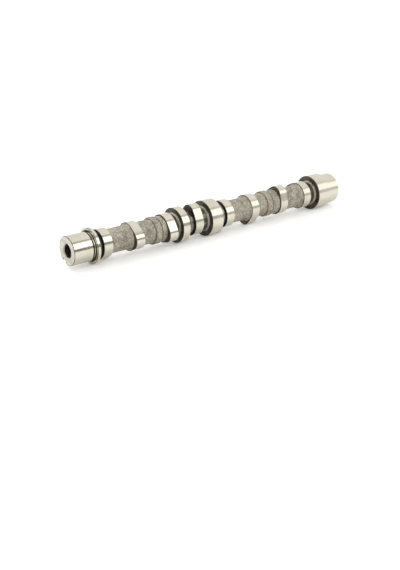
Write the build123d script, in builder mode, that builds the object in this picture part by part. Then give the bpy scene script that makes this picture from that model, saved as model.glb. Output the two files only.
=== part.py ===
from build123d import *
import os
from dataclasses import dataclass
from math import acos, atan2, cos, degrees, radians, sin, tan

os.makedirs("parts", exist_ok=True)

# One-piece chilled-iron camshaft of a four-cylinder engine: one overhead shaft, two valves per cylinder,
# three bearings. It slides into its bearing bores from the rear, so nothing ahead of a journal is larger
# than that journal. The axis lies along X, the pulley end points to -X, and the origin is the middle of the
# centre journal. A station is a distance back from the front face. All sizes are in millimetres.

# ---- engine layout -------------------------------------------------------------------------------------
bore_pitch = 78.0
firing_order = (1, 3, 4, 2)
first_exhaust_nose = -110.0  # degrees above the horizontal, on the -Y side, seen from the front
inlet_lag = 105.0  # degrees from an exhaust nose to the inlet nose of the same cylinder

# ---- cam lobes -----------------------------------------------------------------------------------------
base_radius = 15.0
exhaust_lift = 3.6
inlet_lift = 4.2
nose_radius = 10.0
flank_radius = 65.0
lobe_width = 10.6
valve_spacing = 35.7  # from an exhaust lobe to the inlet lobe of the same cylinder
lobe_edge_break = 0.5

# ---- bearings and collars ------------------------------------------------------------------------------
front_journal_diameter = 30.4
front_journal_length = 21.8
relief_diameter = 26.4
relief_width = 1.1
shoulder_diameter = 30.0
shoulder_width = 1.7
thrust_collar_diameter = 37.0
thrust_collar_width = 4.8
thrust_collar_taper = 1.6
mid_collar_diameter = 37.8
mid_collar_width = 9.2
centre_journal_diameter = 38.8
centre_journal_width = 15.0
rear_journal_diameter = 39.2
rear_journal_width = 17.5
tail_diameter = 34.4
tail_length = 16.8
journal_edge_break = 0.8
collar_edge_break = 0.5

# ---- gaps along the shaft ------------------------------------------------------------------------------
thrust_collar_to_lobe = 4.6
lobe_to_mid_collar = 6.0
lobe_to_rear_journal = 8.6

# ---- as-cast shaft between the ground places -----------------------------------------------------------
core_depth = 2.4  # below the base circle, so that the followers clear the shaft
core_corner = 1.2  # cast corners, drawn as chamfers
boss_depth = 1.4
boss_ring_depth = 0.6
boss_ring_width = 6.8
boss_corner = 0.6
boss_lengths = {2: 13.8, 4: 17.7}  # cylinder to the boss's length ahead of its exhaust lobe

# ---- front end: pulley bolt and locating slot ----------------------------------------------------------
bolt_diameter = 16.0
bolt_pitch = 1.5
thread_height = 0.5413  # of an ISO metric internal thread, in pitches
bolt_hole_depth = 34.0
bolt_hole_mouth = 16.6
drill_point_angle = 118.0
slot_width = 6.0
slot_radial_depth = 3.0
slot_length = 5.0
slot_corner = 0.6
slot_direction = -119.0  # degrees, measured as the noses are

# ---- rear end: lathe centre ----------------------------------------------------------------------------
centre_pilot_diameter = 4.0
centre_mouth_diameter = 10.0
centre_cone_angle = 60.0
centre_pilot_length = 5.0

# ---- diameters and stations worked out from the sizes above --------------------------------------------
core_diameter = 2 * (base_radius - core_depth)
boss_diameter = 2 * (base_radius - boss_depth)
boss_ring_diameter = 2 * (base_radius - boss_ring_depth)

shoulder_start = front_journal_length + relief_width
thrust_collar_start = shoulder_start + shoulder_width
thrust_collar_end = thrust_collar_start + thrust_collar_width
first_lobe_start = thrust_collar_end + thrust_collar_to_lobe


def exhaust_start(cylinder):
    return first_lobe_start + (cylinder - 1) * bore_pitch


def inlet_start(cylinder):
    return exhaust_start(cylinder) + valve_spacing


last_cylinder = len(firing_order)
middle_cylinder = last_cylinder // 2  # the centre journal stands behind its lobes
mid_collar_start = exhaust_start(middle_cylinder) + lobe_width + lobe_to_mid_collar
centre_station = (inlet_start(middle_cylinder) + lobe_width + exhaust_start(middle_cylinder + 1)) / 2
centre_journal_start = centre_station - centre_journal_width / 2
rear_journal_start = inlet_start(last_cylinder) + lobe_width + lobe_to_rear_journal
tail_start = rear_journal_start + rear_journal_width
overall_length = tail_start + tail_length

bolt_hole_diameter = bolt_diameter - 2 * thread_height * bolt_pitch  # at the thread's crests
same_place = 0.01  # edges closer than this to a station lie on it


def x_at(station):
    return station - centre_station


def section(station, direction=0.0):
    """Cross-section plane seen from the front; its x axis points in the given direction."""
    angle = radians(direction)
    return Plane(origin=(x_at(station), 0, 0), x_dir=(0, -cos(angle), sin(angle)), z_dir=(-1, 0, 0))


def nose_direction(cylinder, first_nose):
    """The noses follow each other a quarter turn apart in firing order."""
    return first_nose - firing_order.index(cylinder) * 360 / last_cylinder


@dataclass(frozen=True)
class CamForm:
    """Three-arc cam: base circle, convex flanks and nose circle, each tangent to the next."""

    lift: float

    @property
    def nose_offset(self):
        return base_radius + self.lift - nose_radius

    @property
    def flank_start(self):
        """Angle from the nose line at which the flank leaves the base circle."""
        to_base, to_nose = flank_radius - base_radius, flank_radius - nose_radius
        opposite = (to_base**2 + self.nose_offset**2 - to_nose**2) / (2 * to_base * self.nose_offset)
        return 180 - degrees(acos(opposite))

    @property
    def flank_centre(self):
        reach, angle = flank_radius - base_radius, radians(self.flank_start)
        return -reach * cos(angle), -reach * sin(angle)

    @property
    def nose_start(self):
        """Angle of the common normal of flank and nose, from the nose line."""
        x, y = self.flank_centre
        return degrees(atan2(-y, self.nose_offset - x))

    def outline(self):
        """Closed outline in the current sketch, with the nose on the sketch's +x axis."""
        flank = self.flank_start - self.nose_start
        x, y = self.flank_centre
        with BuildLine() as cam:
            CenterArc((self.nose_offset, 0), nose_radius, -self.nose_start, 2 * self.nose_start)
            CenterArc((x, y), flank_radius, self.nose_start, flank)
            CenterArc((0, 0), base_radius, self.flank_start, 360 - 2 * self.flank_start)
            CenterArc((x, -y), flank_radius, -self.flank_start, flank)
        make_face(cam.edges())


@dataclass(frozen=True)
class Turned:
    """A round stretch of the shaft."""

    start: float
    width: float
    diameter: float

    @property
    def end(self):
        return self.start + self.width


@dataclass(frozen=True)
class Lobe:
    """A cam lobe: its front station, its form and the direction of its nose."""

    start: float
    form: CamForm
    nose: float

    @property
    def end(self):
        return self.start + lobe_width


exhaust_form = CamForm(exhaust_lift)
inlet_form = CamForm(inlet_lift)
first_inlet_nose = first_exhaust_nose + inlet_lag

lobes = []
for cylinder in range(1, last_cylinder + 1):
    lobes.append(Lobe(exhaust_start(cylinder), exhaust_form, nose_direction(cylinder, first_exhaust_nose)))
    lobes.append(Lobe(inlet_start(cylinder), inlet_form, nose_direction(cylinder, first_inlet_nose)))

front_journal = Turned(0, front_journal_length, front_journal_diameter)
relief = Turned(front_journal_length, relief_width, relief_diameter)
shoulder = Turned(shoulder_start, shoulder_width, shoulder_diameter)
thrust_collar = Turned(thrust_collar_start, thrust_collar_width, thrust_collar_diameter)
mid_collar = Turned(mid_collar_start, mid_collar_width, mid_collar_diameter)
centre_journal = Turned(centre_journal_start, centre_journal_width, centre_journal_diameter)
rear_journal = Turned(rear_journal_start, rear_journal_width, rear_journal_diameter)
tail = Turned(tail_start, tail_length, tail_diameter)
core = Turned(thrust_collar_end, rear_journal_start - thrust_collar_end, core_diameter)
bosses = [Turned(exhaust_start(c) - length, length, boss_diameter) for c, length in boss_lengths.items()]
boss_rings = [Turned(boss.start, boss_ring_width, boss_ring_diameter) for boss in bosses]

journals = [front_journal, centre_journal, rear_journal]
turned_places = journals + [relief, shoulder, thrust_collar, mid_collar, core, tail]

with BuildPart() as camshaft:
    for place in turned_places + bosses + boss_rings:
        with BuildSketch(section(place.start)):
            Circle(place.diameter / 2)
        extrude(amount=-place.width)

    for lobe in lobes:
        with BuildSketch(section(lobe.start, lobe.nose)):
            lobe.form.outline()
        extrude(amount=-lobe_width)

    def edges_at(station):
        x = x_at(station)
        return camshaft.edges().filter_by_position(Axis.X, x - same_place, x + same_place)

    def circles_at(station, diameter):
        circles = edges_at(station).filter_by(GeomType.CIRCLE)
        return [edge for edge in circles if abs(edge.radius - diameter / 2) < same_place]

    # cast corners where the shaft runs into a boss, lobe, collar or journal
    boss_corners = [circles_at(boss.start, core_diameter) for boss in bosses]
    boss_corners += [circles_at(ring.end, boss_diameter) for ring in boss_rings]
    boss_corners += [circles_at(boss.end, boss_diameter) for boss in bosses]
    chamfer([edge for corner in boss_corners for edge in corner], boss_corner)
    walls = [thrust_collar.end, mid_collar.start, mid_collar.end, centre_journal.start, centre_journal.end]
    walls += [rear_journal.start] + [lobe.start for lobe in lobes] + [lobe.end for lobe in lobes]
    core_corners = [circles_at(station, core_diameter) for station in walls]
    chamfer([edge for corner in core_corners for edge in corner], core_corner)

    # ground rims: each lobe's outline is broken on both sides
    for lobe in lobes:
        for station in (lobe.start, lobe.end):
            rim = [e for e in edges_at(station) if not e.is_closed or e.radius > base_radius - same_place]
            chamfer(rim, lobe_edge_break)

    for journal in journals:
        for station in (journal.start, journal.end):
            chamfer(circles_at(station, journal.diameter), journal_edge_break)
    chamfer(circles_at(mid_collar.start, mid_collar.diameter), collar_edge_break)
    chamfer(circles_at(mid_collar.end, mid_collar.diameter), collar_edge_break)
    chamfer(circles_at(thrust_collar.start, thrust_collar.diameter), collar_edge_break)
    chamfer(circles_at(thrust_collar.end, thrust_collar.diameter), thrust_collar_taper)
    chamfer(circles_at(tail.end, tail.diameter), journal_edge_break)

    # tapped hole for the pulley bolt, drilled blind, with a countersunk mouth
    hole, mouth = bolt_hole_diameter / 2, bolt_hole_mouth / 2
    drill_point = hole / tan(radians(drill_point_angle / 2))
    with BuildSketch(Plane.XZ):
        with BuildLine():
            Polyline(
                (x_at(0), 0),
                (x_at(0), mouth),
                (x_at(mouth - hole), hole),
                (x_at(bolt_hole_depth), hole),
                (x_at(bolt_hole_depth + drill_point), 0),
                close=True,
            )
        make_face()
    revolve(axis=Axis.X, mode=Mode.SUBTRACT)

    # slot across the rim of the front face, which locates the pulley
    slot_reach = slot_radial_depth + journal_edge_break
    slot_middle = front_journal_diameter / 2 - slot_radial_depth + slot_reach / 2
    with BuildSketch(section(0, slot_direction)):
        with Locations((slot_middle, 0)):
            slot_outline = Rectangle(slot_reach, slot_width)
        fillet(slot_outline.vertices().sort_by_distance((0, 0))[:2], slot_corner)
    extrude(amount=-slot_length, mode=Mode.SUBTRACT)

    # lathe centre in the rear face
    pilot, mouth = centre_pilot_diameter / 2, centre_mouth_diameter / 2
    cone = (mouth - pilot) / tan(radians(centre_cone_angle / 2))
    with BuildSketch(Plane.XZ):
        with BuildLine():
            Polyline(
                (x_at(overall_length), 0),
                (x_at(overall_length), mouth),
                (x_at(overall_length - cone), pilot),
                (x_at(overall_length - cone - centre_pilot_length), pilot),
                (x_at(overall_length - cone - centre_pilot_length), 0),
                close=True,
            )
        make_face()
    revolve(axis=Axis.X, mode=Mode.SUBTRACT)

camshaft.part.label = "camshaft"
export_step(camshaft.part, "parts/camshaft.step")
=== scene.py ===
"""One-piece chilled-iron camshaft, dressed, on a pale floor in soft studio light.

The skin grows along the shaft like a turning: a ring of vertices is extruded from station to station, the
corners are bevelled, the as-cast stretches are roughened, and the thread and the slot are cut last.

The shaft lies along X with its pulley end at -X, and the middle of the centre journal is the origin. A
station is a distance back from the front face. A direction is the angle round the shaft seen from the front:
0 points to -Y and 90 points up. Sizes are in millimetres until they are placed.
"""

import logging
import math
from dataclasses import dataclass, field
from enum import Enum
from typing import Protocol

import bmesh
import bpy
from bmesh.types import BMEdge, BMesh, BMFace, BMVert
from mathutils import Matrix, Vector, noise


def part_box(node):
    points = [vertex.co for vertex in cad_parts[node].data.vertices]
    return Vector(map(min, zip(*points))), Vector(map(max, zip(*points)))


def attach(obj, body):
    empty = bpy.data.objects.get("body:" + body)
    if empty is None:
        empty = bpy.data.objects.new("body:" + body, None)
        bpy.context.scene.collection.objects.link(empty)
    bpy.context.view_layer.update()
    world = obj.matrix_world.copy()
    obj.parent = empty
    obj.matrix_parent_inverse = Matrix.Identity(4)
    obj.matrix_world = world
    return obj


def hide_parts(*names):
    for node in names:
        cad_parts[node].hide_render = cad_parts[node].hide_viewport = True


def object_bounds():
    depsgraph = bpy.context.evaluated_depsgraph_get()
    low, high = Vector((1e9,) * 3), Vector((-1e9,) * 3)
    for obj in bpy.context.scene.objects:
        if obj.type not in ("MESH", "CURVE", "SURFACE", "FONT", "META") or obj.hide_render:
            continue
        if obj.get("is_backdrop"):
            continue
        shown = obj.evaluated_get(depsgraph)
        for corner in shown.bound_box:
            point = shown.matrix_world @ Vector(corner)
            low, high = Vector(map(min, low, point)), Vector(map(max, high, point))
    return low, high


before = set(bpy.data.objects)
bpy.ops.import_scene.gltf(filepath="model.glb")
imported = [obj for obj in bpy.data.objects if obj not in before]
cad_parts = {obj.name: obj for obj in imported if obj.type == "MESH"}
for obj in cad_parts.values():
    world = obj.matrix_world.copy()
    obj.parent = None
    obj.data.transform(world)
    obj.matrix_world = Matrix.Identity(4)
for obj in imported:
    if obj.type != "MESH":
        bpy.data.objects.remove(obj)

MM = 0.001
SAME_POINT = 0.0002  # mm; points of the finished skin that lie nearer to each other are one
log = logging.getLogger("camshaft")

Colour = tuple[float, float, float, float]
WHITE: Colour = (1.0, 1.0, 1.0, 1.0)


class Finish(Enum):
    """Surface finishes, numbered as the skin's material slots."""

    GROUND = 0
    TURNED = 1
    CAST = 2
    # CHEEK: dark oiled cast skin, darkened further as painted shade on the walls of lobes, lands and bosses.
    CHEEK = 3
    # THREAD: oily thread, near-black as painted shade inside the hole and on the slot's side walls.
    THREAD = 4
    # EDGE: dark broken edges and relief walls, a line of painted shade.
    EDGE = 5
    GAP = 6
    # GROOVE: near-black, painted shade in narrow grooves and at the feet of walls.
    GROOVE = 7


class Corner(Enum):
    """Kinds of edge that run round the shaft, numbered as they are marked on the skin."""

    SHARP = 0
    CORE_FILLET = 1
    BOSS_FILLET = 2
    BOSS_ROUND = 3
    LOBE_BREAK = 4
    JOURNAL_BREAK = 5
    COLLAR_BREAK = 6
    COLLAR_TAPER = 7
    GROOVE_FILLET = 8


@dataclass(frozen=True)
class Break:
    """How one kind of corner is broken.

    Attributes:
        width: distance from the corner to where the break begins, in mm.
        segments: 1 for a chamfer, more for a round or a fillet.
        finish: finish of the new faces.
    """

    width: float
    segments: int
    finish: Finish


# The lobe, journal and collar chamfers take the dark edge finish, and the boss and groove fillets take dark
# finishes: painted shade along the edges and in the creases.
BREAKS: dict[Corner, Break] = {
    Corner.CORE_FILLET: Break(1.6, 6, Finish.CAST),
    Corner.GROOVE_FILLET: Break(1.6, 6, Finish.GROOVE),
    Corner.BOSS_FILLET: Break(0.4, 4, Finish.CHEEK),
    Corner.BOSS_ROUND: Break(0.3, 3, Finish.GAP),
    Corner.LOBE_BREAK: Break(0.35, 1, Finish.EDGE),
    Corner.JOURNAL_BREAK: Break(0.5, 1, Finish.EDGE),
    Corner.COLLAR_BREAK: Break(0.35, 1, Finish.EDGE),
    Corner.COLLAR_TAPER: Break(1.6, 1, Finish.TURNED),
}


class Outline(Protocol):
    """Closed outline of a cross-section, star-shaped about the shaft's axis."""

    def reach(self, direction: float) -> float:
        """Distance from the axis to the outline.

        Args:
            direction: angle round the shaft, in degrees.

        Returns:
            The distance in mm.
        """


@dataclass(frozen=True)
class Circle:
    """Round cross-section."""

    radius: float

    def reach(self, direction: float) -> float:
        """The radius, in every direction."""
        return self.radius


@dataclass(frozen=True)
class Cam:
    """Three-arc cam: a base circle, two convex flanks and a nose circle, each tangent to the next."""

    lift: float
    nose: float
    base_radius: float = 15.0
    nose_radius: float = 10.0
    flank_radius: float = 65.0

    @property
    def nose_offset(self) -> float:
        """Distance of the nose circle's centre from the axis."""
        return self.base_radius + self.lift - self.nose_radius

    @property
    def flank_start(self) -> float:
        """Angle from the nose line at which a flank leaves the base circle, in radians."""
        to_base = self.flank_radius - self.base_radius
        to_nose = self.flank_radius - self.nose_radius
        opposite = (to_base**2 + self.nose_offset**2 - to_nose**2) / (2 * to_base * self.nose_offset)
        return math.pi - math.acos(opposite)

    @property
    def flank_centre(self) -> Vector:
        """Centre of the flank on the positive side of the nose line."""
        distance = self.flank_radius - self.base_radius
        return Vector((-distance * math.cos(self.flank_start), -distance * math.sin(self.flank_start)))

    @property
    def nose_end(self) -> float:
        """Angle from the nose line at which the nose circle meets a flank, in radians."""
        normal = Vector((self.nose_offset, 0.0)) - self.flank_centre
        meeting = Vector((self.nose_offset, 0.0)) + normal.normalized() * self.nose_radius
        return math.atan2(meeting.y, meeting.x)

    def reach(self, direction: float) -> float:
        """Distance from the axis to the cam's outline.

        Args:
            direction: angle round the shaft, in degrees.

        Returns:
            The distance in mm.
        """
        off_nose = abs(math.remainder(math.radians(direction - self.nose), math.tau))
        if off_nose >= self.flank_start:
            return self.base_radius
        if off_nose <= self.nose_end:
            centre, radius = Vector((self.nose_offset, 0.0)), self.nose_radius
        else:
            centre, radius = self.flank_centre, self.flank_radius
        along = centre.dot(Vector((math.cos(off_nose), math.sin(off_nose))))
        return along + math.sqrt(radius**2 - centre.length_squared + along**2)


class Skin:
    """The shaft's surface, grown ring by ring from the bottom of the bolt hole to the rear lathe centre."""

    def __init__(self, segments: int, front_x: float) -> None:
        """Starts an empty skin.

        Args:
            segments: vertices in each ring.
            front_x: place of the front face along X, in metres.
        """
        self.segments = segments
        self.front_x = front_x
        self.mesh: BMesh = bmesh.new()
        self.corner_mark = self.mesh.edges.layers.int.new("corner")
        self.ring: list[BMEdge] = []

    def place(self, station: float, reach: float, direction: float) -> Vector:
        """Point in the frame, in metres, from a station and a reach in mm and a direction in radians."""
        across = Vector((0.0, -math.cos(direction), math.sin(direction))) * reach * MM
        return across + Vector((self.front_x + station * MM, 0.0, 0.0))

    def begin(self, station: float, radius: float, tip: float, finish: Finish) -> None:
        """Makes the first ring, closed by a cone.

        Args:
            station: station of the ring.
            radius: radius of the ring.
            tip: station of the cone's point.
            finish: finish of the cone.
        """
        upright = Matrix.Rotation(math.pi / 2, 4, "Y")
        bmesh.ops.create_circle(
            self.mesh,
            cap_ends=True,
            cap_tris=True,
            segments=self.segments,
            radius=radius * MM,
            matrix=upright,
        )
        for vert in self.mesh.verts:
            vert.co.x = self.front_x + (station if vert.is_boundary else tip) * MM
        for face in self.mesh.faces:
            face.material_index = finish.value
        self.ring = [edge for edge in self.mesh.edges if edge.is_boundary]

    def grow(self, station: float, outline: Outline, finish: Finish, corner: Corner = Corner.SHARP) -> None:
        """Extrudes the open ring to a new station and outline.

        Args:
            station: station of the new ring.
            outline: outline of the new ring.
            finish: finish of the band between the old ring and the new one.
            corner: how the new ring is broken.
        """
        grown = bmesh.ops.extrude_edge_only(self.mesh, edges=self.ring)["geom"]
        for vert in (item for item in grown if isinstance(item, BMVert)):
            direction = math.atan2(vert.co.z, -vert.co.y)
            vert.co = self.place(station, outline.reach(math.degrees(direction)), direction)
        for face in (item for item in grown if isinstance(item, BMFace)):
            face.material_index = finish.value
        self.ring = [item for item in grown if isinstance(item, BMEdge)]
        for edge in self.ring:
            edge[self.corner_mark] = corner.value

    def close(self, station: float, finish: Finish) -> None:
        """Closes the open ring with a cone that ends at a station, and turns the whole skin outwards."""
        rim = {vert for edge in self.ring for vert in edge.verts}
        grown = bmesh.ops.extrude_edge_only(self.mesh, edges=self.ring)["geom"]
        for face in (item for item in grown if isinstance(item, BMFace)):
            face.material_index = finish.value
        tips = [item for item in grown if isinstance(item, BMVert) and item not in rim]
        bmesh.ops.pointmerge(self.mesh, verts=tips, merge_co=self.place(station, 0.0, 0.0))
        bmesh.ops.recalc_face_normals(self.mesh, faces=self.mesh.faces)
        self.ring = []

    def break_corners(self) -> None:
        """Bevels every marked ring by the break of its kind."""
        for corner, how in BREAKS.items():
            rings = [edge for edge in self.mesh.edges if edge[self.corner_mark] == corner.value]
            made = bmesh.ops.bevel(
                self.mesh,
                geom=rings,
                offset=how.width * MM,
                offset_type="OFFSET",
                affect="EDGES",
                segments=how.segments,
                profile=0.5,
                material=-1,
            )
            for face in made["faces"]:
                face.material_index = how.finish.value
            for edge in made["edges"]:
                edge[self.corner_mark] = Corner.SHARP.value

    def divide(self, finish: Finish, longest: float) -> None:
        """Adds rings to the bands of one finish.

        Args:
            finish: finish of the bands.
            longest: longest distance that may stay between two rings, in mm.
        """
        by_cuts: dict[int, list[BMEdge]] = {}
        for edge in self.mesh.edges:
            start, end = (vert.co for vert in edge.verts)
            along = abs(end.x - start.x)
            if along > longest * MM and all(face.material_index == finish.value for face in edge.link_faces):
                by_cuts.setdefault(math.ceil(along / (longest * MM)) - 1, []).append(edge)
        for cuts, edges in by_cuts.items():
            bmesh.ops.subdivide_edges(self.mesh, edges=edges, cuts=cuts, use_grid_fill=True)

    def roughen(self, finish: Finish, grain: float, depth: float) -> None:
        """Raises and lowers the surface of one finish, with its borders held still.

        Args:
            finish: finish that is roughened.
            grain: size of the bumps, in mm.
            depth: greatest depth of the bumps, in mm.
        """
        falloff, step, octaves = 0.9, 2.1, 3
        self.mesh.normal_update()
        moves: list[tuple[BMVert, Vector]] = []
        for vert in self.mesh.verts:
            if all(face.material_index == finish.value for face in vert.link_faces):
                height = noise.fractal(vert.co / (grain * MM), falloff, step, octaves)
                moves.append((vert, vert.normal * height * depth * MM))
        for vert, move in moves:
            vert.co += move


def mesh_object(mesh: BMesh, name: str, materials: list[bpy.types.Material]) -> bpy.types.Object:
    """Turns an edit mesh into an object of the scene.

    Extruding stores its faces in another order on each run. They are sorted here, so that the cuts that
    follow store the same faces in the same order, with at most the last digit of some points changed.

    Args:
        mesh: edit mesh, which is freed.
        name: name of the object.
        materials: its material slots.

    Returns:
        The object.
    """
    mesh.verts.index_update()
    faces = sorted(([vert.index for vert in face.verts], face.material_index) for face in mesh.faces)
    data = bpy.data.meshes.new(name)
    data.from_pydata([vert.co for vert in mesh.verts], [], [corners for corners, _ in faces])
    data.polygons.foreach_set("material_index", [finish for _, finish in faces])
    mesh.free()
    for material in materials:
        data.materials.append(material)
    made = bpy.data.objects.new(name, data)
    bpy.context.scene.collection.objects.link(made)
    return made


def cut_out(shaft: bpy.types.Object, tools: list[bpy.types.Object]) -> None:
    """Cuts solid tools out of the shaft and merges the points that the cuts leave together.

    Args:
        shaft: object that is cut.
        tools: objects to cut with, which are used up.
    """
    for tool in tools:
        cutting = shaft.modifiers.new(tool.name, "BOOLEAN")
        cutting.operation = "DIFFERENCE"
        cutting.solver = "EXACT"
        cutting.material_mode = "INDEX"
        cutting.object = tool
    whole = bpy.data.meshes.new_from_object(shaft.evaluated_get(bpy.context.evaluated_depsgraph_get()))
    shaft.modifiers.clear()
    healed = bmesh.new()
    healed.from_mesh(whole)
    bmesh.ops.remove_doubles(healed, verts=healed.verts, dist=SAME_POINT * MM)
    bmesh.ops.dissolve_degenerate(healed, edges=healed.edges, dist=SAME_POINT * MM)
    healed.to_mesh(whole)
    healed.free()
    shaft.data = whole
    for tool in tools:
        bpy.data.objects.remove(tool)


@dataclass(frozen=True)
class FrontEnd:
    """Front journal with the bolt hole in its face, the grinding relief and the shoulder behind it."""

    journal_radius: float = 15.2
    journal_end: float = 21.8
    relief_radius: float = 13.2
    relief_end: float = 22.9
    shoulder_radius: float = 15.0
    shoulder_end: float = 24.6
    bore_radius: float = 7.188
    bore_depth: float = 34.0
    mouth_radius: float = 8.3
    drill_point_angle: float = 118.0

    def add_to(self, skin: Skin) -> None:
        """Grows the skin from the bottom of the hole, out over the face and back along the journal."""
        point = self.bore_radius / math.tan(math.radians(self.drill_point_angle / 2))
        mouth_depth = self.mouth_radius - self.bore_radius
        skin.begin(self.bore_depth, self.bore_radius, self.bore_depth + point, Finish.THREAD)
        skin.grow(mouth_depth, Circle(self.bore_radius), Finish.THREAD)
        skin.grow(0.0, Circle(self.mouth_radius), Finish.TURNED)
        skin.grow(0.0, Circle(self.journal_radius), Finish.TURNED, Corner.JOURNAL_BREAK)
        skin.grow(self.journal_end, Circle(self.journal_radius), Finish.GROUND, Corner.JOURNAL_BREAK)
        # The grinding relief's walls and floor take the dark edge finish: painted shade in the groove.
        skin.grow(self.journal_end, Circle(self.relief_radius), Finish.EDGE)
        skin.grow(self.relief_end, Circle(self.relief_radius), Finish.EDGE)
        skin.grow(self.relief_end, Circle(self.shoulder_radius), Finish.EDGE)
        skin.grow(self.shoulder_end, Circle(self.shoulder_radius), Finish.GROUND)


@dataclass(frozen=True)
class Ring:
    """A round land that stands up from the shaft: a collar or a journal.

    Attributes:
        start: station of the front wall.
        end: station where the land ends.
        radius: radius of the land.
        front_corner: how its front rim is broken.
        rear_corner: how its rear rim is broken.
        wall: finish of the front wall.
        foot_shade_to: radius up to which painted shade lies at the foot of the front wall, or 0.
    """

    start: float
    end: float
    radius: float
    front_corner: Corner
    rear_corner: Corner
    wall: Finish
    foot_shade_to: float = 0.0

    def add_to(self, skin: Skin) -> None:
        """Grows the front wall, with its foot in painted shade, and the land."""
        # The foot of the wall takes the near-black groove finish: painted shade in the corner.
        if self.foot_shade_to:
            skin.grow(self.start, Circle(self.foot_shade_to), Finish.GROOVE)
        skin.grow(self.start, Circle(self.radius), self.wall, self.front_corner)
        skin.grow(self.end, Circle(self.radius), Finish.GROUND, self.rear_corner)


@dataclass(frozen=True)
class Lobe:
    """A cam lobe: an as-cast front cheek and a ground rim."""

    start: float
    cam: Cam
    cheek: Finish = Finish.CHEEK
    width: float = 10.6

    @property
    def end(self) -> float:
        """Station of the rear cheek."""
        return self.start + self.width

    def add_to(self, skin: Skin) -> None:
        """Grows the front cheek and the rim."""
        skin.grow(self.start, self.cam, self.cheek, Corner.LOBE_BREAK)
        skin.grow(self.end, self.cam, Finish.GROUND, Corner.LOBE_BREAK)


@dataclass(frozen=True)
class CastStretch:
    """As-cast shaft between two ground places, with a boss at its rear end where the shaft has one.

    Attributes:
        start: station of the wall in front of it.
        end: station where it ends.
        surface: finish of the shaft.
        rear_corner: how it meets the wall behind it, where it has no boss.
        boss_length: length of the boss with its ring, or 0.
        radius: radius of the shaft.
        boss_radius: radius of the boss.
        boss_ring_radius: radius of the ring at the front of the boss.
        boss_ring_width: width of that ring.
        shaded_foot: width of the dark line of painted shade behind the ring.
    """

    start: float
    end: float
    surface: Finish = Finish.CAST
    rear_corner: Corner = Corner.CORE_FILLET
    boss_length: float = 0.0
    radius: float = 12.6
    boss_radius: float = 13.6
    boss_ring_radius: float = 14.4
    boss_ring_width: float = 6.8
    shaded_foot: float = 1.3

    def add_to(self, skin: Skin) -> None:
        """Grows the wall down to the shaft, the shaft and the boss."""
        skin.grow(self.start, Circle(self.radius), Finish.CHEEK, Corner.CORE_FILLET)
        if not self.boss_length:
            skin.grow(self.end, Circle(self.radius), self.surface, self.rear_corner)
            return
        boss_start = self.end - self.boss_length
        ring_end = boss_start + self.boss_ring_width
        skin.grow(boss_start, Circle(self.radius), Finish.CAST, Corner.BOSS_FILLET)
        skin.grow(boss_start, Circle(self.boss_ring_radius), Finish.CAST, Corner.BOSS_ROUND)
        skin.grow(ring_end, Circle(self.boss_ring_radius), Finish.CAST, Corner.BOSS_ROUND)
        skin.grow(ring_end, Circle(self.boss_radius), Finish.CAST, Corner.BOSS_FILLET)
        # A band of the dark cheek finish behind the ring: painted shade.
        skin.grow(ring_end + self.shaded_foot, Circle(self.boss_radius), Finish.CHEEK)
        skin.grow(self.end, Circle(self.boss_radius), Finish.CAST, Corner.BOSS_FILLET)


@dataclass(frozen=True)
class RearEnd:
    """Rear face with its lathe centre."""

    station: float
    mouth_radius: float = 5.0
    pilot_radius: float = 2.0
    cone_angle: float = 60.0
    pilot_length: float = 5.0
    drill_point_angle: float = 118.0

    def add_to(self, skin: Skin) -> None:
        """Grows the face inwards and the centre forwards, and closes the skin."""
        cone = (self.mouth_radius - self.pilot_radius) / math.tan(math.radians(self.cone_angle / 2))
        bottom = self.station - cone - self.pilot_length
        point = self.pilot_radius / math.tan(math.radians(self.drill_point_angle / 2))
        skin.grow(self.station, Circle(self.mouth_radius), Finish.TURNED)
        skin.grow(self.station - cone, Circle(self.pilot_radius), Finish.TURNED)
        skin.grow(bottom, Circle(self.pilot_radius), Finish.TURNED)
        skin.close(bottom - point, Finish.TURNED)


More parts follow.
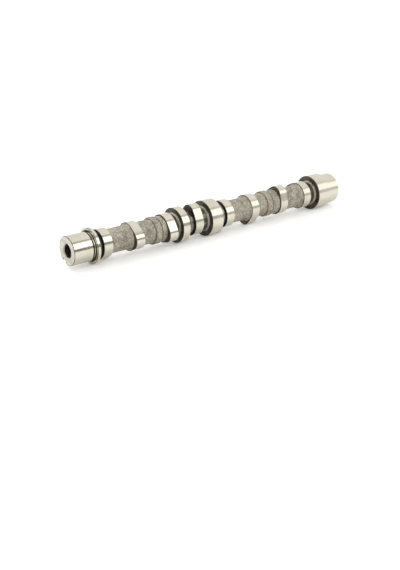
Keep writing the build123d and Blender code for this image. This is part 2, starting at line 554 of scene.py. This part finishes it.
@dataclass(frozen=True)
class Tap:
    """Tool that cuts the bolt hole's metric thread.

    Attributes:
        diameter: the thread's outer diameter.
        pitch: distance between neighbouring turns.
        thread_angle: angle between a turn's flanks, in degrees.
        first_station: station where the tool starts.
        last_station: station where it ends.
        spare_turns: turns that are swept beyond the ends, and trimmed.
        steps: steps in each turn.
        weld: distance at which the turns' points are merged.
        same_plane: distance at which a point counts as on the cut, in metres.
        painted_lit_to: station up to which the thread takes the lighter turned finish, a painted highlight
            where light reaches the first turns.
    """

    diameter: float = 16.0
    pitch: float = 1.5
    thread_angle: float = 60.0
    first_station: float = -1.0
    last_station: float = 31.0
    spare_turns: int = 4
    steps: int = 72
    weld: float = 0.001
    same_plane: float = 1e-7
    painted_lit_to: float = 2.0

    def make(self, front_x: float, materials: list[bpy.types.Material]) -> bpy.types.Object:
        """Sweeps one pitch of the thread into a helix and trims its ends.

        Args:
            front_x: place of the front face along X, in metres.
            materials: material slots of the shaft.

        Returns:
            The tool.
        """
        crest = self.diameter / 2
        flat = self.pitch / 8
        root = crest - (self.pitch - flat) / 2 / math.tan(math.radians(self.thread_angle / 2))
        flat_start, flat_end = (self.pitch - flat) / 2, (self.pitch + flat) / 2
        profile = [(0.0, root), (flat_start, crest), (flat_end, crest), (self.pitch, root)]
        tool = bmesh.new()
        start = front_x / MM + self.first_station - self.spare_turns / 2 * self.pitch
        verts = [tool.verts.new(Vector((start + x, 0.0, z)) * MM) for x, z in profile]
        edges = [tool.edges.new(pair) for pair in zip(verts, verts[1:])]
        turns = math.ceil((self.last_station - self.first_station) / self.pitch) + self.spare_turns
        bmesh.ops.spin(
            tool,
            geom=verts + edges,
            cent=(0.0, 0.0, 0.0),
            axis=(1.0, 0.0, 0.0),
            dvec=(self.pitch * MM / self.steps, 0.0, 0.0),
            angle=math.tau * turns,
            steps=self.steps * turns,
        )
        bmesh.ops.remove_doubles(tool, verts=tool.verts, dist=self.weld * MM)
        for station, outward in ((self.first_station, -1.0), (self.last_station, 1.0)):
            self.trim(tool, front_x + station * MM, outward)
        bmesh.ops.recalc_face_normals(tool, faces=tool.faces)
        # Turns near the mouth take the lighter turned finish as a painted highlight; deeper turns take the
        # dark thread finish as painted shade.
        for face in tool.faces:
            painted_lit = face.calc_center_median().x < front_x + self.painted_lit_to * MM
            face.material_index = (Finish.TURNED if painted_lit else Finish.THREAD).value
        return mesh_object(tool, "tap", materials)

    def trim(self, tool: BMesh, place: float, outward: float) -> None:
        """Cuts one end of the helix off square and closes it.

        Args:
            tool: the helix.
            place: place of the cut along X, in metres.
            outward: 1 where the end points to +X, and -1 where it points to -X.
        """
        bmesh.ops.bisect_plane(
            tool,
            geom=tool.verts[:] + tool.edges[:] + tool.faces[:],
            plane_co=(place, 0.0, 0.0),
            plane_no=(outward, 0.0, 0.0),
            clear_outer=True,
        )
        rim = [
            edge
            for edge in tool.edges
            if edge.is_boundary and all(abs(vert.co.x - place) < self.same_plane for vert in edge.verts)
        ]
        bmesh.ops.edgeloop_fill(tool, edges=rim)


@dataclass(frozen=True)
class SlotCutter:
    """Tool that cuts the pulley's locating slot across the rim of the front face.

    Attributes:
        width: width across the slot.
        depth: depth below the rim.
        length: length back from the front face.
        corner: radius of the corners at its bottom.
        corner_segments: segments of each of those corners.
        direction: direction of its middle, in degrees.
        rim: radius of the journal that it is cut into.
        spare: how far the tool stands out of the journal and the face.
        side_facing: least part of a face's normal across the slot that makes it a side wall, which takes the
            dark thread finish as painted shade.
    """

    width: float = 6.0
    depth: float = 3.0
    length: float = 5.0
    corner: float = 0.6
    corner_segments: int = 4
    direction: float = -119.0
    rim: float = 15.2
    spare: float = 2.0
    side_facing: float = 0.9

    def make(self, front_x: float, materials: list[bpy.types.Material]) -> bpy.types.Object:
        """Shapes a block with two rounded bottom edges and turns it to its direction.

        Args:
            front_x: place of the front face along X, in metres.
            materials: material slots of the shaft.

        Returns:
            The tool.
        """
        tool = bmesh.new()
        bmesh.ops.create_cube(tool, size=1.0)
        size = Vector((self.length + self.spare, self.width, self.depth + self.spare))
        middle = Vector(((self.length - self.spare) / 2, 0.0, self.rim - self.depth + size.z / 2))
        bmesh.ops.scale(tool, vec=size, verts=tool.verts)
        bmesh.ops.bevel(
            tool,
            geom=[edge for edge in tool.edges if self.is_bottom_corner(edge)],
            offset=self.corner,
            affect="EDGES",
            segments=self.corner_segments,
            profile=0.5,
            material=-1,
        )
        tool.normal_update()
        sides = [face for face in tool.faces if abs(face.normal.y) > self.side_facing]
        bmesh.ops.translate(tool, vec=middle, verts=tool.verts)
        bmesh.ops.scale(tool, vec=Vector((MM, MM, MM)), verts=tool.verts)
        turned = Matrix.Rotation(math.radians(90.0 - self.direction), 3, "X")
        bmesh.ops.rotate(tool, cent=(0.0, 0.0, 0.0), matrix=turned, verts=tool.verts)
        bmesh.ops.translate(tool, vec=(front_x, 0.0, 0.0), verts=tool.verts)
        for face in tool.faces:
            face.material_index = Finish.TURNED.value
        # The side walls take the dark thread finish: painted shade in the slot.
        for face in sides:
            face.material_index = Finish.THREAD.value
        return mesh_object(tool, "slot_cutter", materials)

    @staticmethod
    def is_bottom_corner(edge: BMEdge) -> bool:
        """Whether an edge of the block runs along X at its bottom."""
        first, last = (vert.co for vert in edge.verts)
        return first.z < 0 and last.z < 0 and first.y * last.y > 0


@dataclass
class Sheet:
    """A node tree that is written one node at a time."""

    tree: bpy.types.NodeTree

    def add(
        self,
        kind: str,
        inputs: dict[str | int, object] | None = None,
        settings: dict[str, object] | None = None,
    ) -> bpy.types.Node:
        """Adds a node.

        Args:
            kind: type of the node, without its ShaderNode prefix.
            inputs: value or incoming socket for each input.
            settings: properties of the node.

        Returns:
            The node.
        """
        node = self.tree.nodes.new("ShaderNode" + kind)
        for name, value in (settings or {}).items():
            setattr(node, name, value)
        self.fill(node, inputs or {})
        return node

    def fill(self, node: bpy.types.Node, inputs: dict[str | int, object]) -> None:
        """Gives each named input of a node its value, or wires the incoming socket to it."""
        for name, value in inputs.items():
            if isinstance(value, bpy.types.NodeSocket):
                self.tree.links.new(value, node.inputs[name])
            else:
                node.inputs[name].default_value = value

    def math(self, operation: str, *values: object) -> bpy.types.NodeSocket:
        """Adds a Math node and gives its result's socket."""
        return self.add("Math", dict(enumerate(values)), {"operation": operation}).outputs[0]

    def weigh(self, first: object, share: float, second: object) -> bpy.types.NodeSocket:
        """Adds two patterns up: the first has the share, and the second has the rest."""
        return self.math("MULTIPLY_ADD", first, share, self.math("MULTIPLY", second, 1.0 - share))

    def blend(self, factor: object, low: object, high: object) -> bpy.types.NodeSocket:
        """Mixes two colours: a factor of 0 gives low and 1 gives high."""
        node = self.add("Mix", {0: factor, 6: low, 7: high}, {"data_type": "RGBA"})
        return node.outputs[2]

    def mix(self, factor: object, low: object, high: object) -> bpy.types.NodeSocket:
        """Mixes two numbers: a factor of 0 gives low and 1 gives high."""
        node = self.add("Mix", {0: factor, 2: low, 3: high}, {"data_type": "FLOAT"})
        return node.outputs[0]

    def spread(
        self, value: object, start: float, end: float, low: float = 0.0, high: float = 1.0
    ) -> bpy.types.NodeSocket:
        """Maps start to end smoothly on low to high, and holds still beyond them."""
        inputs = {"Value": value, "From Min": start, "From Max": end, "To Min": low, "To Max": high}
        return self.add("MapRange", inputs, {"interpolation_type": "SMOOTHSTEP"}).outputs[0]

    def grain(
        self, stretch: tuple[float, float, float], detail: float, rough: float = 0.5
    ) -> bpy.types.NodeSocket:
        """Adds noise that is fixed to the shaft.

        Args:
            stretch: grains for each metre along X, Y and Z.
            detail: octaves of finer noise.
            rough: strength of the finer noise.

        Returns:
            The noise's socket, with values about 0.5.
        """
        place = self.add("TexCoord").outputs["Object"]
        scaled = self.add("Mapping", {"Vector": place, "Scale": stretch}).outputs[0]
        inputs = {"Vector": scaled, "Scale": 1.0, "Detail": detail, "Roughness": rough}
        return self.add("TexNoise", inputs).outputs["Fac"]


def new_material(name: str) -> tuple[bpy.types.Material, Sheet, bpy.types.Node]:
    """Makes a material, and gives it with its node tree and its surface shader."""
    material = bpy.data.materials.new(name)
    material.use_nodes = True
    return material, Sheet(material.node_tree), material.node_tree.nodes["Principled BSDF"]


@dataclass(frozen=True)
class Coat:
    """Base of the shaft's finishes.

    Attributes:
        name: name of the material.
        metallic: how metallic the surface is.
        light: colour of its light places.
        dark: colour of its dark places.
        smooth: lowest roughness.
        rough: highest roughness.
    """

    name: str
    metallic: float
    light: Colour
    dark: Colour
    smooth: float
    rough: float

    def make(self) -> bpy.types.Material:
        """Builds the material, and lets the kind of finish paint it."""
        material, sheet, shader = new_material(self.name)
        sheet.fill(shader, {"Metallic": self.metallic})
        self.paint(sheet, shader)
        return material

    def paint(self, sheet: Sheet, shader: bpy.types.Node) -> None:
        """Wires colour, roughness and bump to the shader."""
        raise NotImplementedError

    def wire(
        self,
        sheet: Sheet,
        shader: bpy.types.Node,
        tone: bpy.types.NodeSocket,
        wear: bpy.types.NodeSocket,
        relief: bpy.types.NodeSocket,
        depth: float,
    ) -> None:
        """Wires the three patterns of a finish to its shader.

        Args:
            sheet: node tree of the material.
            shader: its surface shader.
            tone: 0 for dark places and 1 for light ones.
            wear: 0 for smooth places and 1 for rough ones.
            relief: height of the surface, 0 to 1.
            depth: depth of the relief, in mm.
        """
        colour = sheet.blend(tone, self.dark, self.light)
        roughness = sheet.spread(wear, 0.0, 1.0, self.smooth, self.rough)
        bump = sheet.add("Bump", {"Strength": 1.0, "Distance": depth * MM, "Height": relief})
        sheet.fill(shader, {"Base Color": colour, "Roughness": roughness, "Normal": bump.outputs[0]})

    def turn_tangent(self, sheet: Sheet, shader: bpy.types.Node, strength: float) -> None:
        """Stretches the gloss across tool marks that run round the shaft."""
        tangent = sheet.add("Tangent", None, {"direction_type": "RADIAL", "axis": "X"})
        sheet.fill(shader, {"Anisotropic": strength, "Tangent": tangent.outputs[0]})


@dataclass(frozen=True)
class GroundIron(Coat):
    """Ground rims and journals: bright, with fine lines that run round the shaft.

    Attributes:
        across: grinding lines for each metre along the shaft.
        around: changes of a line for each metre round it.
        band_around: changes of a band of lines for each metre round it.
        oil: changes of the oil film for each metre.
    """

    across: float = 2600.0
    around: float = 45.0
    band_around: float = 14.0
    oil: float = 38.0

    def paint(self, sheet: Sheet, shader: bpy.types.Node) -> None:
        """Wires the grinding lines and a faint oil film."""
        lines = sheet.grain((self.across, self.around, self.around), 3.0)
        bands = sheet.grain((self.across / 6, self.band_around, self.band_around), 2.0)
        film = sheet.grain((self.oil,) * 3, 3.0)
        wear = sheet.weigh(lines, 0.5, bands)
        tone = sheet.spread(sheet.weigh(film, 0.6, wear), 0.38, 0.62)
        self.wire(sheet, shader, tone, sheet.spread(wear, 0.35, 0.65), lines, depth=0.003)
        self.turn_tangent(sheet, shader, 0.35)


@dataclass(frozen=True)
class TurnedIron(Coat):
    """Turned faces: a fine spiral of tool marks round the axis.

    Attributes:
        feed: distance between neighbouring tool marks, in mm.
        stain: stains for each metre.
    """

    feed: float = 0.22
    stain: float = 190.0

    def paint(self, sheet: Sheet, shader: bpy.types.Node) -> None:
        """Wires the rings, a slight runout and stains."""
        place = sheet.add("TexCoord").outputs["Object"]
        across = sheet.add("Mapping", {"Vector": place, "Scale": (0.0, 1.0, 1.0)}).outputs[0]
        distance = sheet.add("VectorMath", {0: across}, {"operation": "LENGTH"}).outputs["Value"]
        along = sheet.add("SeparateXYZ", {0: place}).outputs["X"]
        depth = sheet.math("MULTIPLY", sheet.math("ADD", distance, along), math.tau / (self.feed * MM))
        rings = sheet.math("MULTIPLY_ADD", sheet.math("SINE", depth), 0.5, 0.5)
        stains = sheet.grain((self.stain,) * 3, 5.0, 0.6)
        tone = sheet.spread(stains, 0.36, 0.62)
        self.wire(sheet, shader, tone, sheet.weigh(rings, 0.4, stains), rings, depth=0.002)
        self.turn_tangent(sheet, shader, 0.45)


@dataclass(frozen=True)
class CastIron(Coat):
    """As-cast skin: sand-mould grain with blotches and small pits.

    Attributes:
        blotch: size of the blotches, in mm.
        sand: grains of sand for each metre.
        stain: stains for each metre.
        pit_spacing: places for a pit, for each metre.
        pit_patch: patches with pits, for each metre.
        pit: colour of the pits.
        relief: depth of the grain, in mm.
    """

    blotch: float = 1.7
    sand: float = 1100.0
    stain: float = 130.0
    pit_spacing: float = 330.0
    pit_patch: float = 120.0
    pit: Colour = (0.055, 0.047, 0.036, 1.0)
    relief: float = 0.16

    def paint(self, sheet: Sheet, shader: bpy.types.Node) -> None:
        """Wires blotches, sand grain and pits."""
        blotches = sheet.grain((1 / (self.blotch * MM),) * 3, 5.0, 0.75)
        sand = sheet.grain((self.sand,) * 3, 4.0, 0.65)
        stains = sheet.grain((self.stain,) * 3, 2.0)
        place = sheet.add("TexCoord").outputs["Object"]
        cells = sheet.add("TexVoronoi", {"Vector": place, "Scale": self.pit_spacing, "Randomness": 1.0})
        deep = sheet.spread(cells.outputs["Distance"], 0.10, 0.26, low=1.0, high=0.0)
        chosen = sheet.spread(sheet.grain((self.pit_patch,) * 3, 2.0), 0.54, 0.64)
        pits = sheet.math("MULTIPLY", deep, chosen)
        tone = sheet.spread(sheet.weigh(blotches, 0.75, stains), 0.38, 0.62)
        height = sheet.math("SUBTRACT", sheet.weigh(sand, 0.7, blotches), sheet.math("MULTIPLY", pits, 0.6))
        self.wire(sheet, shader, tone, sand, height, depth=self.relief)
        base = shader.inputs["Base Color"].links[0].from_socket
        sheet.fill(shader, {"Base Color": sheet.blend(sheet.math("MULTIPLY", pits, 0.8), base, self.pit)})


@dataclass(frozen=True)
class PaintedShadeIron(Coat):
    """Dark coat with faint stains, its darkness painted shade: the oily tapped hole, the narrow grooves and
    the broken edges.

    Attributes:
        across: stains for each metre along the shaft.
        around: stains for each metre round it.
    """

    across: float = 400.0
    around: float = 250.0

    def paint(self, sheet: Sheet, shader: bpy.types.Node) -> None:
        """Wires its stains."""
        stains = sheet.grain((self.across, self.around, self.around), 4.0, 0.6)
        self.wire(sheet, shader, sheet.spread(stains, 0.4, 0.65), stains, stains, depth=0.01)


@dataclass
class Camshaft:
    """The whole shaft, as one piece.

    Attributes:
        bore_pitch: distance between the lobe pairs of neighbouring cylinders.
        valve_spacing: distance from an exhaust lobe to the inlet lobe of its cylinder.
        exhaust_noses: directions of the exhaust noses, from the front cylinder back.
        inlet_lag: angle from an exhaust nose to the inlet nose of its cylinder.
        grooved: numbers of the lobes whose front cheek stands in a narrow groove and takes the near-black
            finish of painted shade.
        thrust_foot_shade: radius up to which painted shade lies at the foot of the thrust collar's front
            wall.
        collar_gap: gap between the third lobe and the middle collar.
        journal_gap: gap between the last lobe and the rear journal.
        bosses: lengths of the front and the rear boss.
        segments: vertices round the shaft.
        ring_spacing: longest distance between two rings of the as-cast skin.
        bump: size of the as-cast skin's bumps.
        bump_depth: their greatest depth.
        sharp_angle: angle from which an edge looks sharp, in degrees.
    """

    bore_pitch: float = 78.0
    valve_spacing: float = 35.7
    first_lobe: float = 34.0
    exhaust_noses: tuple[float, ...] = (-110.0, -20.0, 160.0, 70.0)
    inlet_lag: float = 105.0
    exhaust_lift: float = 3.6
    inlet_lift: float = 4.2
    grooved: tuple[int, ...] = (0, 4)
    thrust_end: float = 29.4
    thrust_radius: float = 18.5
    thrust_foot_shade: float = 16.3
    collar_gap: float = 6.0
    collar_width: float = 9.2
    collar_radius: float = 18.9
    bearing_width: float = 15.0
    bearing_radius: float = 19.4
    journal_gap: float = 8.6
    journal_width: float = 17.5
    journal_radius: float = 19.6
    tail_length: float = 16.8
    tail_radius: float = 17.2
    bosses: tuple[float, float] = (13.8, 17.7)
    segments: int = 192
    ring_spacing: float = 0.9
    bump: float = 2.6
    bump_depth: float = 0.07
    sharp_angle: float = 32.0
    front: FrontEnd = field(default_factory=FrontEnd)

    def lobes(self) -> list[Lobe]:
        """The eight lobes, from the front back."""
        places: list[tuple[float, Cam]] = []
        for cylinder, nose in enumerate(self.exhaust_noses):
            start = self.first_lobe + cylinder * self.bore_pitch
            places.append((start, Cam(self.exhaust_lift, nose)))
            places.append((start + self.valve_spacing, Cam(self.inlet_lift, nose + self.inlet_lag)))
        # Cheeks of these lobes take the near-black groove finish: painted shade in the narrow groove.
        cheeks = [Finish.GROOVE if number in self.grooved else Finish.CHEEK for number in range(len(places))]
        return [Lobe(start, cam, cheek) for (start, cam), cheek in zip(places, cheeks)]

    def parts(self) -> list[FrontEnd | Ring | Lobe | CastStretch | RearEnd]:
        """Everything along the shaft, from the front back."""
        first, second, third, fourth, fifth, sixth, seventh, eighth = self.lobes()
        thrust = Ring(
            self.front.shoulder_end,
            self.thrust_end,
            self.thrust_radius,
            Corner.COLLAR_BREAK,
            Corner.COLLAR_TAPER,
            Finish.TURNED,
            self.thrust_foot_shade,
        )
        collar_start = third.end + self.collar_gap
        collar = self.land(collar_start, self.collar_width, self.collar_radius, Corner.COLLAR_BREAK)
        bearing_start = (fourth.end + fifth.start - self.bearing_width) / 2
        bearing = self.land(bearing_start, self.bearing_width, self.bearing_radius, Corner.JOURNAL_BREAK)
        journal_start = eighth.end + self.journal_gap
        journal = self.land(journal_start, self.journal_width, self.journal_radius, Corner.JOURNAL_BREAK)
        tail_end = journal.end + self.tail_length
        tail = Ring(
            journal.end, tail_end, self.tail_radius, Corner.SHARP, Corner.JOURNAL_BREAK, Finish.TURNED
        )
        front_boss, rear_boss = self.bosses
        return [
            self.front,
            thrust,
            # The shaft behind the thrust collar, and the rear fillets of the narrow gaps before the fourth
            # and fifth lobes, take the near-black groove finish: painted shade.
            CastStretch(thrust.end, first.start, Finish.GROOVE, Corner.GROOVE_FILLET),
            first,
            CastStretch(first.end, second.start),
            second,
            CastStretch(second.end, third.start, boss_length=front_boss),
            third,
            CastStretch(third.end, collar.start, Finish.GAP),
            collar,
            CastStretch(collar.end, fourth.start, Finish.GAP, Corner.GROOVE_FILLET),
            fourth,
            CastStretch(fourth.end, bearing.start, Finish.GAP),
            bearing,
            CastStretch(bearing.end, fifth.start, Finish.GAP, Corner.GROOVE_FILLET),
            fifth,
            CastStretch(fifth.end, sixth.start),
            sixth,
            CastStretch(sixth.end, seventh.start, boss_length=rear_boss),
            seventh,
            CastStretch(seventh.end, eighth.start),
            eighth,
            CastStretch(eighth.end, journal.start, Finish.GAP),
            journal,
            tail,
            RearEnd(tail.end),
        ]

    def land(self, start: float, width: float, radius: float, corner: Corner) -> Ring:
        """A collar or a journal with an as-cast wall and both rims broken alike."""
        return Ring(start, start + width, radius, corner, corner, Finish.CHEEK)

    def finishes(self) -> list[bpy.types.Material]:
        """One material for each finish, in their order."""
        coats: dict[Finish, Coat] = {
            Finish.GROUND: GroundIron(
                "ground_iron",
                metallic=1.0,
                light=(0.75, 0.71, 0.605, 1.0),
                dark=(0.69, 0.65, 0.54, 1.0),
                smooth=0.10,
                rough=0.19,
            ),
            Finish.TURNED: TurnedIron(
                "turned_iron",
                metallic=1.0,
                light=(0.66, 0.63, 0.54, 1.0),
                dark=(0.52, 0.49, 0.41, 1.0),
                smooth=0.24,
                rough=0.42,
            ),
            Finish.CAST: CastIron(
                "cast_skin",
                metallic=0.25,
                light=(0.50, 0.46, 0.372, 1.0),
                dark=(0.17, 0.15, 0.114, 1.0),
                smooth=0.50,
                rough=0.80,
            ),
            # Oiled cast skin, made darker still as painted shade on the walls.
            Finish.CHEEK: CastIron(
                "oiled_cast_skin_painted_shade",
                metallic=0.85,
                light=(0.13, 0.115, 0.09, 1.0),
                dark=(0.035, 0.03, 0.023, 1.0),
                smooth=0.28,
                rough=0.45,
            ),
            # Oily thread; its near-black colour is painted shade inside the hole and on the slot's side
            # walls.
            Finish.THREAD: PaintedShadeIron(
                "oiled_thread_painted_shade",
                metallic=0.9,
                light=(0.12, 0.10, 0.08, 1.0),
                dark=(0.025, 0.02, 0.016, 1.0),
                smooth=0.30,
                rough=0.55,
            ),
            Finish.GAP: GroundIron(
                "oiled_gap",
                metallic=0.9,
                light=(0.38, 0.355, 0.305, 1.0),
                dark=(0.16, 0.147, 0.122, 1.0),
                smooth=0.18,
                rough=0.34,
            ),
            # Its dark colour is painted shade along the broken edges and in the grinding relief.
            Finish.EDGE: PaintedShadeIron(
                "edge_painted_shade",
                metallic=0.8,
                light=(0.13, 0.118, 0.088, 1.0),
                dark=(0.07, 0.062, 0.046, 1.0),
                smooth=0.32,
                rough=0.52,
            ),
            # Near-black painted shade in narrow grooves and at the feet of walls.
            Finish.GROOVE: PaintedShadeIron(
                "groove_painted_shade",
                metallic=0.9,
                light=(0.038, 0.034, 0.026, 1.0),
                dark=(0.016, 0.014, 0.011, 1.0),
                smooth=0.34,
                rough=0.55,
            ),
        }
        return [coats[finish].make() for finish in Finish]

    def build(self, node: str) -> bpy.types.Object:
        """Builds the shaft and puts it in the place of its solid.

        Args:
            node: name of the solid.

        Returns:
            The dressed shaft.
        """
        front_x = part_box(node)[0].x
        materials = self.finishes()
        skin = Skin(self.segments, front_x)
        for part in self.parts():
            part.add_to(skin)
        skin.break_corners()
        skin.divide(Finish.CAST, self.ring_spacing)
        skin.roughen(Finish.CAST, self.bump, self.bump_depth)
        shaft = mesh_object(skin.mesh, "chilled_shaft", materials)
        cut_out(shaft, [Tap().make(front_x, materials), SlotCutter().make(front_x, materials)])
        shaft.data.shade_smooth()
        shaft.data.set_sharp_from_angle(angle=math.radians(self.sharp_angle))
        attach(shaft, "root")
        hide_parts(node)
        return shaft


@dataclass(frozen=True)
class Strip:
    """A long light or flag far away, parallel to the shaft, as the polished lands mirror it.

    Attributes:
        low: its lower edge, as an angle round the shaft in degrees above the level on the -Y side.
        high: its upper edge, as such an angle.
        near: radiance towards the pulley end.
        far: radiance towards the rear end.
        soft: half the width of its soft edges, in degrees.
        near_at: part of the direction along the shaft up to which the strip has its near radiance.
        far_at: part of the direction along the shaft from which it has its far radiance.
    """

    low: float
    high: float
    near: float
    far: float
    soft: float = 2.0
    near_at: float = 0.42
    far_at: float = 0.74

    def paint(
        self,
        sheet: Sheet,
        angle: bpy.types.NodeSocket,
        along: bpy.types.NodeSocket,
        base: bpy.types.NodeSocket,
    ) -> bpy.types.NodeSocket:
        """Lays the strip over a sky.

        Args:
            sheet: node tree of the world.
            angle: angle of the direction round the shaft.
            along: part of the direction that runs along the shaft.
            base: radiance of the sky without the strip.

        Returns:
            The radiance with it.
        """
        above = sheet.spread(angle, self.low - self.soft, self.low + self.soft)
        below = sheet.spread(angle, self.high - self.soft, self.high + self.soft, low=1.0, high=0.0)
        radiance = sheet.spread(along, self.near_at, self.far_at, self.near, self.far)
        return sheet.mix(sheet.math("MULTIPLY", above, below), base, radiance)


def aim(data: bpy.types.Camera | bpy.types.Light, place: Vector, ahead: Vector) -> bpy.types.Object:
    """Adds a camera or a lamp at a place, and turns it to look ahead."""
    made = bpy.data.objects.new(data.name, data)
    made.matrix_world = Matrix.Translation(place) @ ahead.to_track_quat("-Z", "Y").to_matrix().to_4x4()
    bpy.context.scene.collection.objects.link(made)
    return made


@dataclass(frozen=True)
class Studio:
    """Pale floor, soft light and the camera.

    Attributes:
        eye: place of the camera, in mm.
        ahead: direction in which the camera looks.
        lens: focal length, in mm, on a sensor of full width.
        sky: radiance of the plain sky.
        sky_change: share of that radiance by which the sky is darker low down and lighter on high.
        strips: the long softbox and the flags above and below it.
        lamp_side: direction towards the large lamp behind the shaft.
        lamp_distance: its distance, in metres.
        lamp_size: its side, in metres.
        lamp_power: its power, in watts.
        floor_colour: colour of the floor.
        floor_lift: what the floor's own glow adds to it as the camera sees it.
        floor_radius: radius of the floor, in metres.
    """

    eye: Vector = Vector((-602.5, -769.5, 323.2))
    ahead: Vector = Vector((0.56413, 0.73258, -0.38089))
    lens: float = 60.0
    sky: float = 0.92
    sky_change: float = 0.08
    strips: tuple[Strip, ...] = (
        Strip(low=-1.0, high=19.5, near=0.21, far=0.74),
        Strip(low=61.0, high=76.0, near=0.46, far=0.86),
        Strip(low=20.0, high=61.0, near=1.90, far=1.34),
    )
    lamp_side: Vector = Vector((-0.35, 0.55, 0.76))
    lamp_distance: float = 1.5
    lamp_size: float = 0.7
    lamp_power: float = 6.0
    floor_colour: Colour = (0.90, 0.90, 0.895, 1.0)
    floor_lift: float = 0.20
    floor_radius: float = 12.0

    def add_camera(self) -> None:
        """Adds the camera and makes it the scene's."""
        data = bpy.data.cameras.new("camera")
        data.lens = self.lens
        data.clip_start, data.clip_end = 0.01, 100.0
        bpy.context.scene.camera = aim(data, self.eye * MM, self.ahead)

    def add_floor(self, height: float) -> bpy.types.Object:
        """Adds the floor.

        Args:
            height: height of its surface, in metres.

        Returns:
            The floor.
        """
        mesh = bmesh.new()
        level = Matrix.Translation((0.0, 0.0, height))
        bmesh.ops.create_circle(mesh, cap_ends=True, segments=128, radius=self.floor_radius, matrix=level)
        material, sheet, shader = new_material("studio_floor")
        sheet.fill(shader, {"Base Color": self.floor_colour, "Roughness": 0.9, "Specular IOR Level": 0.0})
        glow = sheet.math("MULTIPLY", sheet.add("LightPath").outputs["Is Camera Ray"], self.floor_lift)
        sheet.fill(shader, {"Emission Color": WHITE, "Emission Strength": glow})
        floor = mesh_object(mesh, "studio_floor", [material])
        floor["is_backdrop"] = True
        return floor

    def add_world(self) -> None:
        """Adds the sky with its strips; the camera itself sees plain white."""
        world = bpy.data.worlds.new("studio")
        world.use_nodes = True
        bpy.context.scene.world = world
        sheet = Sheet(world.node_tree)
        look = sheet.add("SeparateXYZ", {0: sheet.add("TexCoord").outputs["Generated"]}).outputs
        level = sheet.math("MULTIPLY", look["Y"], -1.0)
        angle = sheet.math("DEGREES", sheet.math("ARCTAN2", look["Z"], level))
        darker, lighter = self.sky * (1 - self.sky_change), self.sky * (1 + self.sky_change)
        lit = sheet.spread(look["Z"], -0.2, 1.0, darker, lighter)
        for strip in self.strips:
            lit = strip.paint(sheet, angle, look["X"], lit)
        seen = sheet.mix(sheet.add("LightPath").outputs["Is Camera Ray"], lit, 1.0)
        sheet.fill(world.node_tree.nodes["Background"], {"Color": WHITE, "Strength": seen})

    def add_lamp(self) -> None:
        """Adds the large soft lamp behind the shaft, which throws its shadow forwards."""
        data = bpy.data.lights.new("back_lamp", "AREA")
        data.shape = "DISK"
        data.size = self.lamp_size
        data.energy = self.lamp_power
        side = self.lamp_side.normalized()
        aim(data, side * self.lamp_distance, -side)

    def build(self, floor_height: float) -> None:
        """Adds everything and leaves colours as they are written."""
        self.add_camera()
        self.add_floor(floor_height)
        self.add_world()
        self.add_lamp()
        bpy.context.scene.view_settings.view_transform = "Standard"


def main() -> None:
    """Dresses the shaft, sets up the studio and logs the shaft's face count."""
    logging.basicConfig(level=logging.INFO, format="%(name)s: %(message)s")
    low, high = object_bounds()
    shaft = Camshaft().build("camshaft")
    log.info("%s: %d faces", shaft.name, len(shaft.data.polygons))
    Studio().build(low[2])


if __name__ == "__main__":
    main()
